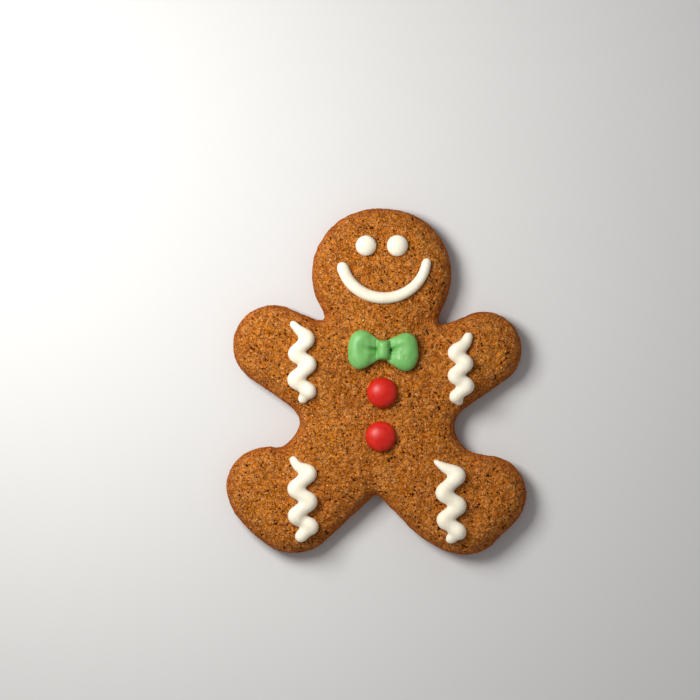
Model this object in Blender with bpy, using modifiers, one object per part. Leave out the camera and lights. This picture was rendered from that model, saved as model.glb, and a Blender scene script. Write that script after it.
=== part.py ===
"""Gingerbread figure biscuit with piped icing, a moulded sugar bow and two sugar-shelled buttons.

The figure lies on its back: +Z runs out of its face, +Y to the top of its head and +X to its left hand.
The origin is on the flat underside, in the middle of the figure's box. Sizes are in millimetres here,
and each finished mesh is scaled to metres.
"""

import math
import random
from collections import namedtuple

import bmesh
import bpy
import numpy as np
from mathutils import Matrix, Vector, noise

MM = 0.001

# A limb is a round-ended bar: a radius at its start that changes evenly to the one at its end.
Limb = namedtuple("Limb", "start start_radius end end_radius")

# The figure's outline is limbs of dough, run together with a fillet where they meet.
HEAD = Limb((0.3, 28.4), 17.5, (2.5, 28.4), 17.4)
TORSO = Limb((3.0, 20.8), 11.1, (-2.3, -9.7), 8.6)
RIGHT_ARM = Limb((-11.1, 0.8), 12.9, (-27.4, 9.6), 10.7)
LEFT_ARM = Limb((11.7, -0.6), 12.2, (28.4, 8.5), 10.1)
RIGHT_THIGH = Limb((-4.8, -15.4), 13.8, (-21.9, -33.3), 12.3)
LEFT_THIGH = Limb((5.1, -15.3), 13.9, (16.9, -29.8), 12.0)
RIGHT_FOOT = Limb((-29.5, -27.9), 10.4, (-22.4, -28.9), 6.3)
LEFT_FOOT = Limb((29.4, -30.0), 10.4, (23.6, -35.4), 10.6)
NECK_FILLET, ARM_FILLET, HIP_FILLET, FOOT_FILLET, CROTCH_FILLET = 3.2, 6.6, 6.0, 5.7, 1.2

# How the dough rises: a flat base, a widest line low on the side, a round shoulder and a soft crown.
BISCUIT_THICKNESS = 9.0
CROWN_RISE = 1.1
CROWN_REACH = 15.0
WIDEST_HEIGHT = 3.3
# What lies lower than this is pressed flat by the baking tray.
FLAT_BASE = 0.05
SHOULDER = 6.0
BASE_ROUND = 2.4
BISCUIT_VOXEL, BISCUIT_SHARE = 1.3, 0.42

# Relief of the crust: broad swells, smaller lumps, and shallow dents where bubbles sank.
SWELL_HEIGHT, SWELL_SPAN = 0.55, 11.0
LUMP_HEIGHT, LUMP_SPAN = 0.32, 4.8
DENT_COUNT, DENT_DEPTH, DENT_RADIUS = 56, 0.4, (1.9, 2.8)
DENT_SEED = 12

# Toppings clear the crust by this much.
GAP = 0.34
ICING_VOXEL, ICING_SHARE = 0.62, 0.31
# A piped bead's middle stands this share of its radius above the crust.
BEAD_LIFT = 0.42
# Inside a turn the icing runs together: a web this long and thin at its end, as shares of the bead's radius.
WEB_REACH, WEB_END = 0.55, 0.5
# Halfway between two turns the bead is this share as thick. Its first two stops are its tail.
WAIST, TAIL_STOPS = 0.86, 2

# Piped squiggles: the bead's middle at its start, at each turn and at its end, with its radius there.
SQUIGGLES = {
    "squiggle_right_arm": (
        (-22.0, 15.1, 0.95), (-20.6, 13.7, 1.25), (-18.3, 11.4, 1.95), (-21.3, 7.3, 2.05), (-17.9, 4.6, 2.05),
        (-21.5, 0.5, 2.05), (-17.9, -2.5, 2.05), (-19.3, -4.3, 1.35),
    ),
    "squiggle_left_arm": (
        (24.1, 11.7, 1.25), (23.2, 9.9, 1.45), (20.75, 7.7, 2.0), (23.5, 4.8, 1.95), (20.7, 1.6, 2.0),
        (23.75, -1.1, 2.0), (20.8, -4.0, 1.7), (21.4, -4.8, 1.3),
    ),
    "squiggle_right_leg": (
        (-21.9, -20.8, 1.05), (-20.7, -22.4, 1.3), (-17.8, -24.1, 2.0), (-21.5, -28.3, 2.05),
        (-17.7, -31.6, 2.1), (-21.4, -35.4, 2.05), (-17.4, -38.2, 2.05), (-19.8, -40.6, 1.65),
    ),
    "squiggle_left_leg": (
        (15.5, -21.1, 0.6), (17.6, -22.5, 1.2), (21.4, -24.6, 2.0), (17.6, -29.3, 2.1), (21.6, -32.7, 2.1),
        (17.9, -36.5, 2.1), (21.6, -39.6, 2.1), (19.8, -41.2, 1.4),
    ),
}

# The smile is part of an ellipse; angles are from its lowest point, in degrees.
SMILE_CENTRE, SMILE_HALF_WIDTH, SMILE_HALF_HEIGHT = (1.95, 32.85), 11.3, 10.8
SMILE_START, SMILE_END = -74.5, 81.8
SMILE_RADII = (1.55, 1.2)

# Domed dots and lentils: place, radius, half thickness, and the height of the middle over the crust.
Dome = namedtuple("Dome", "x y radius half_thickness lift")
EYES = {
    "eye_right": Dome(-2.8, 35.85, 2.72, 2.0, 0.55),
    "eye_left": Dome(5.45, 35.85, 2.8, 2.0, 0.55),
}
BUTTONS = {
    "button_upper": Dome(1.45, -2.9, 4.0, 2.55, 0.95),
    "button_lower": Dome(1.1, -14.45, 4.05, 2.55, 0.95),
}

# The bow: two puffed wings, as limbs, and the knot between them, as a band with round corners.
BOW_AT = (1.78, 8.17)
RIGHT_WING = (
    Limb((-5.5, 2.1), 3.2, (-5.95, 0.5), 3.1),
    Limb((-5.95, 0.5), 3.1, (-6.05, -1.75), 2.95),
    Limb((-5.5, 2.1), 3.2, (-2.8, 2.2), 1.4),
    Limb((-6.05, -1.75), 2.95, (-3.2, -1.9), 1.5),
    Limb((-5.0, 0.3), 2.8, (-1.0, 0.2), 2.3),
)
LEFT_WING = (
    Limb((5.7, 1.55), 3.0, (6.0, -0.85), 2.95),
    Limb((6.0, -0.85), 2.95, (5.65, -2.4), 2.8),
    Limb((5.7, 1.55), 3.0, (2.8, 2.15), 1.4),
    Limb((5.65, -2.4), 2.8, (2.9, -2.3), 1.6),
    Limb((5.0, -0.3), 2.8, (1.0, 0.0), 2.3),
)
Band = namedtuple("Band", "x y half_width half_length corner")
KNOT = Band(0.0, 0.17, 1.8, 2.63, 0.9)
WING_FILLET, KNOT_FILLET = 1.2, 0.3
BOW_HEIGHT, BOW_ROUND, BOW_BASE_ROUND, BOW_WIDEST_HEIGHT = 3.2, 3.1, 0.6, 1.1
# Towards the knot the wings thin, and the knot arches over them: a foot this high, and a rise over it.
WING_DROP, WING_DROP_REACH = 1.2, 2.6
KNOT_FOOT, KNOT_RISE, KNOT_END_SHARPNESS = 2.0, 1.5, 6
# A hollow in a wing is round; a pleat is a groove that widens and fades from its start to its end.
Hollow = namedtuple("Hollow", "x y radius depth")
HOLLOWS = (Hollow(-4.6, 0.9, 3.0, 0.45), Hollow(4.6, 0.3, 2.8, 0.3))
Pleat = namedtuple("Pleat", "start end start_half_width end_half_width depth")
PLEATS = (
    Pleat((-1.5, 0.15), (-6.6, 1.4), 0.5, 0.85, 1.4),
    Pleat((1.5, 0.05), (5.2, 1.1), 0.45, 0.6, 1.25),
    Pleat((5.6, -1.8), (6.8, -0.9), 0.4, 0.5, 0.12),
)
BOW_VOXEL, BOW_SHARE = 0.62, 0.46

COLOURS = {
    "crust": (0.36, 0.15, 0.035),
    "icing": (0.90, 0.84, 0.70),
    "sugar_green": (0.20, 0.50, 0.15),
    "candy_red": (0.60, 0.03, 0.02),
}
ROUGHNESS = {"crust": 0.75, "icing": 0.5, "sugar_green": 0.35, "candy_red": 0.3}


def limb_distance(x, y, limb):
    """How far each point lies outside a limb, negative inside it."""
    along_x, along_y = limb.end[0] - limb.start[0], limb.end[1] - limb.start[1]
    share = (x - limb.start[0]) * along_x + (y - limb.start[1]) * along_y
    share = np.clip(share / (along_x**2 + along_y**2), 0, 1)
    radius = limb.start_radius + share * (limb.end_radius - limb.start_radius)
    return np.hypot(x - limb.start[0] - share * along_x, y - limb.start[1] - share * along_y) - radius


def run_together(a, b, fillet):
    """The union of two distances, with the corner between them filled."""
    near = np.maximum(fillet - abs(a - b), 0) / fillet
    return np.minimum(a, b) - near * near * fillet / 4


def figure_distance(x, y):
    """How far each point lies outside the figure's outline, negative inside it."""
    right_leg = run_together(limb_distance(x, y, RIGHT_THIGH), limb_distance(x, y, RIGHT_FOOT), FOOT_FILLET)
    left_leg = run_together(limb_distance(x, y, LEFT_THIGH), limb_distance(x, y, LEFT_FOOT), FOOT_FILLET)
    torso = limb_distance(x, y, TORSO)
    legs = run_together(
        run_together(torso, right_leg, HIP_FILLET), run_together(torso, left_leg, HIP_FILLET), CROTCH_FILLET
    )
    with_arms = run_together(legs, limb_distance(x, y, RIGHT_ARM), ARM_FILLET)
    with_arms = run_together(with_arms, limb_distance(x, y, LEFT_ARM), ARM_FILLET)
    return run_together(with_arms, limb_distance(x, y, HEAD), NECK_FILLET)


def band_distance(x, y, band):
    """How far each point lies outside a band with round corners, negative inside it."""
    past_x = abs(x - band.x) - band.half_width + band.corner
    past_y = abs(y - band.y) - band.half_length + band.corner
    inner = np.minimum(np.maximum(past_x, past_y), 0)
    return inner + np.hypot(np.maximum(past_x, 0), np.maximum(past_y, 0)) - band.corner


def bow_distance(x, y):
    """The same for the bow's outline, about its knot."""
    whole = band_distance(x, y, KNOT)
    for wing in (RIGHT_WING, LEFT_WING):
        puffed = limb_distance(x, y, wing[0])
        for limb in wing[1:]:
            puffed = run_together(puffed, limb_distance(x, y, limb), WING_FILLET)
        whole = run_together(whole, puffed, KNOT_FILLET)
    return whole


def gradient(distance, x, y):
    """The direction in which a distance grows, as two arrays."""
    tiny = 0.01
    along_x = (distance(x + tiny, y) - distance(x - tiny, y)) / (2 * tiny)
    along_y = (distance(x, y + tiny) - distance(x, y - tiny)) / (2 * tiny)
    return along_x, along_y


def walk_outline(distance, start, step):
    """Points a step apart round the line where a distance is zero, clockwise."""
    point = np.array(start, float)
    points = []
    while len(points) < 10 or np.hypot(*(point - points[0])) > 0.75 * step:
        for _ in range(4):
            slope = np.array(gradient(distance, *point))
            point = point - distance(*point) * slope / (slope @ slope)
        points.append(point)
        point = point + step * np.array((slope[1], -slope[0])) / np.hypot(*slope)
    return points


def evaluated_mesh(obj):
    """The mesh of an object with its modifiers applied; the object itself is removed."""
    graph = bpy.context.evaluated_depsgraph_get()
    mesh = bpy.data.meshes.new_from_object(obj.evaluated_get(graph))
    bpy.data.objects.remove(obj)
    return mesh


def remeshed(mesh, voxel):
    """The mesh's outer surface, in even faces."""
    obj = bpy.data.objects.new("remeshed", mesh)
    bpy.context.scene.collection.objects.link(obj)
    even = obj.modifiers.new("Even faces", "REMESH")
    even.mode = "VOXEL"
    even.voxel_size = voxel
    return evaluated_mesh(obj)


def thinned(mesh, share):
    """The same surface with only a share of its faces, the most where it bends."""
    obj = bpy.data.objects.new("thinned", mesh)
    bpy.context.scene.collection.objects.link(obj)
    fewer = obj.modifiers.new("Fewer faces", "DECIMATE")
    fewer.ratio = share
    return evaluated_mesh(obj)


def slab(outline, thickness, voxel):
    """A flat piece of dough cut to the outline, from z 0 up, in even faces."""
    curve = bpy.data.curves.new("cut outline", "CURVE")
    curve.dimensions = "2D"
    curve.fill_mode = "BOTH"
    curve.extrude = thickness / 2
    spline = curve.splines.new("POLY")
    spline.points.add(len(outline) - 1)
    spline.use_cyclic_u = True
    for spot, (x, y) in zip(spline.points, outline):
        spot.co = (x, y, 0, 1)
    obj = bpy.data.objects.new("cut outline", curve)
    obj.location.z = thickness / 2
    bpy.context.scene.collection.objects.link(obj)
    bpy.context.view_layer.update()
    lift = obj.matrix_world.copy()
    mesh = evaluated_mesh(obj)
    mesh.transform(lift)
    return remeshed(mesh, voxel)


def coordinates(mesh):
    flat = np.empty(len(mesh.vertices) * 3, np.float32)
    mesh.vertices.foreach_get("co", flat)
    return flat.reshape(-1, 3).astype(float).T


def set_coordinates(mesh, x, y, z):
    mesh.vertices.foreach_set("co", np.stack((x, y, z), axis=1).astype(np.float32).ravel())
    mesh.update()


def puffed(mesh, voxel, distance, thickness, widest, shoulder, base_round):
    """Rounds a slab's rim: its square corners move onto quarter ellipses above and below the widest line.

    Returns the new x, y and z, and how far up its rounded side or top each point lies, from 0 to 1.
    """
    x, y, z = coordinates(mesh)
    actual = -distance(x, y)
    inset = np.where(actual < voxel / 2, 0, actual)
    above = z > widest
    reach = np.where(above, shoulder, base_round)
    out = 1 - np.minimum(inset, reach) / reach
    up = np.where(above, (z - widest) / (thickness - widest), (widest - z) / widest)
    out_round = out * np.sqrt(1 - up**2 / 2)
    up_round = up * np.sqrt(1 - out**2 / 2)
    slope_x, slope_y = gradient(distance, x, y)
    size = np.maximum(np.hypot(slope_x, slope_y), 0.2)
    inward = inset - actual + reach * (out - out_round)
    x = x - inward * slope_x / size
    y = y - inward * slope_y / size
    z = np.where(above, widest + up_round * (thickness - widest), widest - up_round * widest)
    return x, y, z, np.where(above, up_round, 0)


def eased(value):
    """0 to 1 with a level start and end."""
    value = np.clip(value, 0, 1)
    return value * value * (3 - 2 * value)


def soft_noise(x, y, span, layer):
    return np.array([noise.noise(Vector((a / span, b / span, layer))) for a, b in zip(x, y)])


def scattered_dents():
    """Seeded places inside the outline for the sunken bubbles: x, y, radius and depth."""
    draw = random.Random(DENT_SEED)
    dents = []
    while len(dents) < DENT_COUNT:
        x, y = draw.uniform(-39, 39), draw.uniform(-45, 45)
        radius = draw.uniform(*DENT_RADIUS)
        depth = DENT_DEPTH * draw.uniform(0.5, 1)
        if figure_distance(x, y) < -3 and all(math.hypot(x - d[0], y - d[1]) > 4.5 for d in dents):
            dents.append((x, y, radius, depth))
    return dents


DENTS = scattered_dents()


def crust_relief(x, y):
    """How far the baked top stands above a smooth one."""
    relief = SWELL_HEIGHT * soft_noise(x, y, SWELL_SPAN, 0.3)
    relief += LUMP_HEIGHT * soft_noise(x, y, LUMP_SPAN, 7.7)
    for dent_x, dent_y, radius, depth in DENTS:
        relief -= depth * eased(1 - np.hypot(x - dent_x, y - dent_y) / radius)
    return relief


def crust_height(x, y):
    """The height of the biscuit's top surface over the table."""
    x, y = np.atleast_1d(np.asarray(x, float)), np.atleast_1d(np.asarray(y, float))
    inset = np.maximum(-figure_distance(x, y), 0)
    out = 1 - np.minimum(inset, SHOULDER) / SHOULDER
    up = np.sqrt(1 - out**2)
    height = WIDEST_HEIGHT + up * (BISCUIT_THICKNESS - WIDEST_HEIGHT)
    return height + up**2 * (CROWN_RISE * eased(inset / CROWN_REACH) + crust_relief(x, y))


def biscuit_mesh():
    outline = walk_outline(figure_distance, (HEAD.start[0], HEAD.start[1] + HEAD.start_radius), 1.0)
    mesh = slab(outline, BISCUIT_THICKNESS, BISCUIT_VOXEL)
    x, y, z, up = puffed(
        mesh, BISCUIT_VOXEL, figure_distance, BISCUIT_THICKNESS, WIDEST_HEIGHT, SHOULDER, BASE_ROUND
    )
    inset = np.maximum(-figure_distance(x, y), 0)
    set_coordinates(mesh, x, y, z + up**2 * (CROWN_RISE * eased(inset / CROWN_REACH) + crust_relief(x, y)))
    mesh = thinned(mesh, BISCUIT_SHARE)
    x, y, z = coordinates(mesh)
    set_coordinates(mesh, x, y, np.where(z < FLAT_BASE, 0, z))
    return mesh


def rest_on_crust(mesh, around=(0, 0)):
    """Flattens what would lie in the biscuit onto its crust, a gap above it."""
    x, y, z = coordinates(mesh)
    set_coordinates(mesh, x, y, np.maximum(z, crust_height(x + around[0], y + around[1]) + GAP))
    return mesh


def rounded_run(stops, step=0.35):
    """Points along a smooth line through the stops, each (x, y, radius), with a round end at both ends."""
    stops = [np.array(stop, float) for stop in stops]
    stops = [2 * stops[0] - stops[1], *stops, 2 * stops[-1] - stops[-2]]
    line = []
    for before, start, end, after in zip(stops, stops[1:], stops[2:], stops[3:]):
        count = max(2, round(np.hypot(*(end - start)[:2]) / step))
        for t in np.arange(count) / count:
            bend = (after - 3 * end + 3 * start - before) * t**3
            bend += (2 * before - 5 * start + 4 * end - after) * t**2
            line.append(start + 0.5 * ((end - before) * t + bend))
    line.append(stops[-2])
    for tip, inner in ((0, 1), (-1, -2)):
        way = line[tip][:2] - line[inner][:2]
        way = way / np.hypot(*way)
        radius = line[tip][2]
        cap = [
            np.array((*(line[tip][:2] + way * radius * math.sin(turn)), radius * math.cos(turn)))
            for turn in np.radians((25, 50, 70, 84))
        ]
        line = cap[::-1] + line if tip == 0 else line + cap
    return line


def webs(stops):
    """Short runs from each turn of a squiggle towards its inner side, where the icing runs together."""
    lines = []
    for before, turn, after in zip(stops, stops[1:], stops[2:]):
        inward = np.array((before[0] + after[0] - 2 * turn[0], before[1] + after[1] - 2 * turn[1]))
        reach = min(WEB_REACH * turn[2], 0.5 * np.hypot(*inward))
        x, y = np.array(turn[:2]) + inward * reach / np.hypot(*inward)
        lines.append(rounded_run([(*turn[:2], 0.9 * turn[2]), (x, y, WEB_END * turn[2])]))
    return lines


def squiggle_lines(stops):
    """The lines of one squiggle: its run, thinner between the turns, and its webs."""
    turns = stops[TAIL_STOPS:]
    run = list(stops[:TAIL_STOPS + 1])
    for before, after in zip(turns, turns[1:]):
        radius = WAIST * (before[2] + after[2]) / 2
        run += [((before[0] + after[0]) / 2, (before[1] + after[1]) / 2, radius), after]
    return [rounded_run(run), *webs(stops)]


def bead_mesh(lines):
    """A piped bead of icing along lines of (x, y, radius), lying on the crust."""
    curve = bpy.data.curves.new("bead", "CURVE")
    curve.dimensions = "3D"
    curve.bevel_depth = 1
    curve.bevel_resolution = 3
    curve.use_fill_caps = True
    for line in lines:
        spline = curve.splines.new("POLY")
        spline.points.add(len(line) - 1)
        xs, ys, radii = np.array(line).T
        full = np.convolve(np.pad(radii, 4, mode="edge"), np.ones(9) / 9, mode="valid")
        heights = crust_height(xs, ys) + BEAD_LIFT * np.maximum(full, radii)
        for spot, x, y, z, radius in zip(spline.points, xs, ys, heights, radii):
            spot.co = (x, y, z, 1)
            spot.radius = radius
    obj = bpy.data.objects.new("bead", curve)
    bpy.context.scene.collection.objects.link(obj)
    return rest_on_crust(thinned(remeshed(evaluated_mesh(obj), ICING_VOXEL), ICING_SHARE))


def smile_line():
    """The smile's middle line, with the bead thinning from its first end to its last."""
    line = []
    for angle in np.linspace(math.radians(SMILE_START), math.radians(SMILE_END), 12):
        share = (angle - math.radians(SMILE_START)) / math.radians(SMILE_END - SMILE_START)
        radius = SMILE_RADII[0] + share**2 * (SMILE_RADII[1] - SMILE_RADII[0])
        x = SMILE_CENTRE[0] + SMILE_HALF_WIDTH * math.sin(angle)
        line.append((x, SMILE_CENTRE[1] - SMILE_HALF_HEIGHT * math.cos(angle), radius))
    return rounded_run(line, step=0.8)


def dome_mesh(dome, segments, rings):
    """A ball flattened to a dot or lentil, its underside resting on the crust; drawn about its place."""
    mesh = bpy.data.meshes.new("dome")
    ball = bmesh.new()
    bmesh.ops.create_uvsphere(ball, u_segments=segments, v_segments=rings, radius=1)
    ball.to_mesh(mesh)
    ball.free()
    middle = crust_height(dome.x, dome.y)[0] + dome.lift
    x, y, z = coordinates(mesh)
    set_coordinates(mesh, x * dome.radius, y * dome.radius, middle + z * dome.half_thickness)
    return rest_on_crust(mesh, (dome.x, dome.y))


def wing_folds(x, y):
    """The depth of the hollows and pleats in the wings."""
    depth = np.zeros(len(x))
    for hollow in HOLLOWS:
        depth += hollow.depth * eased(1 - np.hypot(x - hollow.x, y - hollow.y) / hollow.radius)
    for pleat in PLEATS:
        along_x, along_y = pleat.end[0] - pleat.start[0], pleat.end[1] - pleat.start[1]
        share = (x - pleat.start[0]) * along_x + (y - pleat.start[1]) * along_y
        share = np.clip(share / (along_x**2 + along_y**2), 0, 1)
        across = np.hypot(x - pleat.start[0] - share * along_x, y - pleat.start[1] - share * along_y)
        width = pleat.start_half_width + share * (pleat.end_half_width - pleat.start_half_width)
        depth += pleat.depth * (1 - eased(share)) * np.exp(-((across / width) ** 2))
    return depth


def bow_mesh():
    """The bow as one moulded piece: puffed wings with a hollow and pleats each, and a raised knot."""
    outline = walk_outline(bow_distance, (KNOT.x, KNOT.y + KNOT.half_length), 0.4)
    mesh = slab(outline, BOW_HEIGHT, BOW_VOXEL)
    x, y, z, up = puffed(
        mesh, BOW_VOXEL, bow_distance, BOW_HEIGHT, BOW_WIDEST_HEIGHT, BOW_ROUND, BOW_BASE_ROUND
    )
    drop = WING_DROP * (1 - eased((abs(x) - KNOT.half_width) / WING_DROP_REACH))
    across, along = abs(x - KNOT.x) / KNOT.half_width, abs(y - KNOT.y) / KNOT.half_length
    barrel = np.where(across < 1, KNOT_FOOT + KNOT_RISE * np.sqrt(np.maximum(1 - across**2, 0)), 0)
    barrel = barrel * np.cbrt(np.maximum(1 - along**KNOT_END_SHARPNESS, 0))
    z = np.where(up > 0, np.maximum(z - up**2 * (drop + wing_folds(x, y)), barrel), z)
    set_coordinates(mesh, x, y, crust_height(*BOW_AT)[0] + z)
    return rest_on_crust(thinned(mesh, BOW_SHARE), BOW_AT)


def material(name):
    made = bpy.data.materials.new(name)
    made.use_nodes = True
    made.diffuse_color = (*COLOURS[name], 1)
    shader = made.node_tree.nodes["Principled BSDF"]
    shader.inputs["Base Color"].default_value = (*COLOURS[name], 1)
    shader.inputs["Roughness"].default_value = ROUGHNESS[name]
    shader.inputs["Metallic"].default_value = 0
    return made


def add_piece(name, mesh, finish, figure, collection, at=(0, 0, 0), drawn_at=(0, 0, 0)):
    """Links a piece whose origin is to be at one place, from a mesh drawn about another."""
    mesh.transform(Matrix.Translation(Vector(drawn_at) - Vector(at)))
    mesh.transform(Matrix.Scale(MM, 4))
    mesh.name = name
    mesh.materials.clear()
    mesh.materials.append(finish)
    mesh.shade_smooth()
    piece = bpy.data.objects.new(name, mesh)
    piece.location = Vector(at) * MM
    piece.parent = figure
    collection.objects.link(piece)
    return piece


def main():
    for obj in list(bpy.data.objects):
        bpy.data.objects.remove(obj)
    collection = bpy.data.collections.new("gingerbread_figure")
    bpy.context.scene.collection.children.link(collection)
    figure = bpy.data.objects.new("figure", None)
    collection.objects.link(figure)
    finishes = {name: material(name) for name in COLOURS}

    add_piece("biscuit", biscuit_mesh(), finishes["crust"], figure, collection)
    for name, stops in SQUIGGLES.items():
        start = (*stops[0][:2], crust_height(*stops[0][:2])[0])
        add_piece(name, bead_mesh(squiggle_lines(stops)), finishes["icing"], figure, collection, at=start)
    smile_start = smile_line()[0][:2]
    smile_at = (*smile_start, crust_height(*smile_start)[0])
    add_piece("smile", bead_mesh([smile_line()]), finishes["icing"], figure, collection, at=smile_at)
    for domes, finish, segments, rings in ((EYES, "icing", 14, 9), (BUTTONS, "candy_red", 18, 10)):
        for name, dome in domes.items():
            at = (dome.x, dome.y, crust_height(dome.x, dome.y)[0])
            drawn_at = (dome.x, dome.y, 0)
            mesh = dome_mesh(dome, segments, rings)
            add_piece(name, mesh, finishes[finish], figure, collection, at=at, drawn_at=drawn_at)
    bow_at = (*BOW_AT, crust_height(*BOW_AT)[0])
    add_piece("bow", bow_mesh(), finishes["sugar_green"], figure, collection, at=bow_at, drawn_at=(*BOW_AT, 0))


main()
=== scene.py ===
"""The looks of the gingerbread figure: a baked, pitted crust, piped icing, a moulded sugar bow and buttons.

Sizes are in millimetres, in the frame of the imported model, and each finished mesh is scaled to metres.
"""

import math
import random
from collections import namedtuple

import bpy
import numpy as np
from mathutils import Matrix, Vector, noise


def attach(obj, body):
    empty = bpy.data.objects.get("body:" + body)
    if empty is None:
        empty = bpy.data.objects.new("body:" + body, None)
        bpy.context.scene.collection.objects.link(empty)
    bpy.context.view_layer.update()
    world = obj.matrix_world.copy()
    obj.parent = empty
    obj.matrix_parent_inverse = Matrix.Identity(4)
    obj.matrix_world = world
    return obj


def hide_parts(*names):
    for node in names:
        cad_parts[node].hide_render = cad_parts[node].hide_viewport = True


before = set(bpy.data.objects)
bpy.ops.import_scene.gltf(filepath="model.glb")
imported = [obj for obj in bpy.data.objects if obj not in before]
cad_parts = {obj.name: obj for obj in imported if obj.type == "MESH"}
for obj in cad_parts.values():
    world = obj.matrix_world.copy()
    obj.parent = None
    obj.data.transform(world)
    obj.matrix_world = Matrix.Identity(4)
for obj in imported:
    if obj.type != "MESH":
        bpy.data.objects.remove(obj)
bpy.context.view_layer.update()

MM = 0.001

# A limb is a round-ended bar: a radius at its start that changes evenly to the one at its end.
Limb = namedtuple("Limb", "start start_radius end end_radius")

# The figure's outline is limbs of dough, run together with a fillet where they meet.
HEAD = Limb((0.3, 28.4), 17.5, (2.5, 28.4), 17.4)
TORSO = Limb((3.0, 20.8), 11.1, (-2.3, -9.7), 8.6)
RIGHT_ARM = Limb((-11.1, 0.8), 12.9, (-27.4, 9.6), 10.7)
LEFT_ARM = Limb((11.7, -0.6), 12.2, (28.4, 8.5), 10.1)
RIGHT_THIGH = Limb((-4.8, -15.4), 13.8, (-21.9, -33.3), 12.3)
LEFT_THIGH = Limb((5.1, -15.3), 13.9, (16.9, -29.8), 12.0)
RIGHT_FOOT = Limb((-29.5, -27.9), 10.4, (-22.4, -28.9), 6.3)
LEFT_FOOT = Limb((29.4, -30.0), 10.4, (23.6, -35.4), 10.6)
NECK_FILLET, ARM_FILLET, HIP_FILLET, FOOT_FILLET, CROTCH_FILLET = 3.2, 6.6, 6.0, 5.7, 1.2

# How the dough rises: a flat base, a widest line low on the side, a round shoulder and a soft crown.
BISCUIT_THICKNESS = 9.0
CROWN_RISE = 1.1
CROWN_REACH = 15.0
WIDEST_HEIGHT = 3.3
SHOULDER = 6.0
BASE_ROUND = 2.4
BISCUIT_VOXEL, BISCUIT_OUTLINE_STEP = 0.32, 0.6
# The faces of the flat base are thinned until this share of all the biscuit's faces is left.
BASE_SHARE = 0.64

# Relief of the crust: broad swells, smaller lumps, and shallow dents where bubbles sank.
SWELL_HEIGHT, SWELL_SPAN = 0.55, 11.0
LUMP_HEIGHT, LUMP_SPAN = 0.32, 4.8
DENT_COUNT, DENT_DEPTH, DENT_RADIUS = 56, 0.4, (1.9, 2.8)
DENT_SEED = 12
# Dents keep this far in from the outline, and this far apart; both they and the pinholes are drawn over this
# half width and half height.
DENT_MARGIN, DENT_SPACING = 3, 4.5
DRAW_REACH = (39, 45)

# Fine relief: heights and spans of the crumb's layers; the creased layer has round lumps and sharp folds.
CRUMB = ((0.28, 2.5), (0.14, 0.75))
CREASED_HEIGHT, CREASED_SPAN, CREASED_LIMIT = 0.42, 1.6, 0.4
# Pinholes where small bubbles burst, alone and in wandering chains that read as short cracks.
PINHOLE_COUNT, PINHOLE_RADIUS, PINHOLE_DEPTH, PINHOLE_SEED = 850, (0.19, 0.35), 0.6, 5
PINHOLE_MARGIN, PINHOLE_STEEPNESS = 1, 1.7
# A chain has one of these numbers of holes; each hole is between these shares as wide as the last.
CHAIN_LINKS, CHAIN_STEP, CHAIN_TURN, CHAIN_SHARES = (1, 1, 1, 1, 1, 2, 2, 3), 0.7, 1.1, (0.6, 1.1)
PINHOLE_WARP, PINHOLE_WARP_SPAN = 0.22, 0.5
# The side of the biscuit is set in a little, and only this share as rough as its top.
RIM_INSET, RIM_ROUGHNESS = 0.1, 0.5
# Pinholes come in over this height above the widest line, and all fine relief over this one above the base.
PINHOLE_FADE, RELIEF_START, RELIEF_FADE = 2, 0.2, 1.5
# What lies lower than this is part of the flat base.
BASE_LIMIT = 0.05

# Toppings are stuck to the crust, this deep in its fine relief.
SINK = 0.25
ICING_VOXEL = 0.2
# Melting the icing's folds rounds them and takes this much off a bead's radius, which is added first.
MELT_ROUNDS, MELT_LOSS = 60, 0.14
# Rounds of softening after a bead is stuck to the crust.
SETTLE_ROUNDS = 2
# A piped bead's middle stands this share of its radius above the crust.
BEAD_LIFT = 0.42
# The lift is averaged over this many points to each side, so that a tapering end doesn't dive.
LIFT_SPREAD = 8
# A bead's end is round: rings at these angles, in degrees, from its last full ring to its tip.
CAP_TURNS = (15, 30, 45, 58, 70, 79, 86)
# Inside a turn the icing runs together: a web this long, and this thick at its start and at its end, as
# shares of the bead's radius.
WEB_REACH, WEB_START, WEB_END = 0.55, 0.9, 0.5
# Halfway between two turns the bead is this share as thick. Its first two stops are its tail.
WAIST, TAIL_STOPS = 0.86, 2

# Piped squiggles: the bead's middle at its start, at each turn and at its end, with its radius there.
SQUIGGLES = {
    "squiggle_right_arm": (
        (-22.0, 15.1, 0.95), (-20.6, 13.7, 1.25), (-18.3, 11.4, 1.95), (-21.3, 7.3, 2.05), (-17.9, 4.6, 2.05),
        (-21.5, 0.5, 2.05), (-17.9, -2.5, 2.05), (-19.3, -4.3, 1.35),
    ),
    "squiggle_left_arm": (
        (24.1, 11.7, 1.25), (23.2, 9.9, 1.45), (20.75, 7.7, 2.0), (23.5, 4.8, 1.95), (20.7, 1.6, 2.0),
        (23.75, -1.1, 2.0), (20.8, -4.0, 1.7), (21.4, -4.8, 1.3),
    ),
    "squiggle_right_leg": (
        (-21.9, -20.8, 1.05), (-20.7, -22.4, 1.3), (-17.8, -24.1, 2.0), (-21.5, -28.3, 2.05),
        (-17.7, -31.6, 2.1), (-21.4, -35.4, 2.05), (-17.4, -38.2, 2.05), (-19.8, -40.6, 1.65),
    ),
    "squiggle_left_leg": (
        (15.5, -21.1, 0.6), (17.6, -22.5, 1.2), (21.4, -24.6, 2.0), (17.6, -29.3, 2.1), (21.6, -32.7, 2.1),
        (17.9, -36.5, 2.1), (21.6, -39.6, 2.1), (19.8, -41.2, 1.4),
    ),
}

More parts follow.
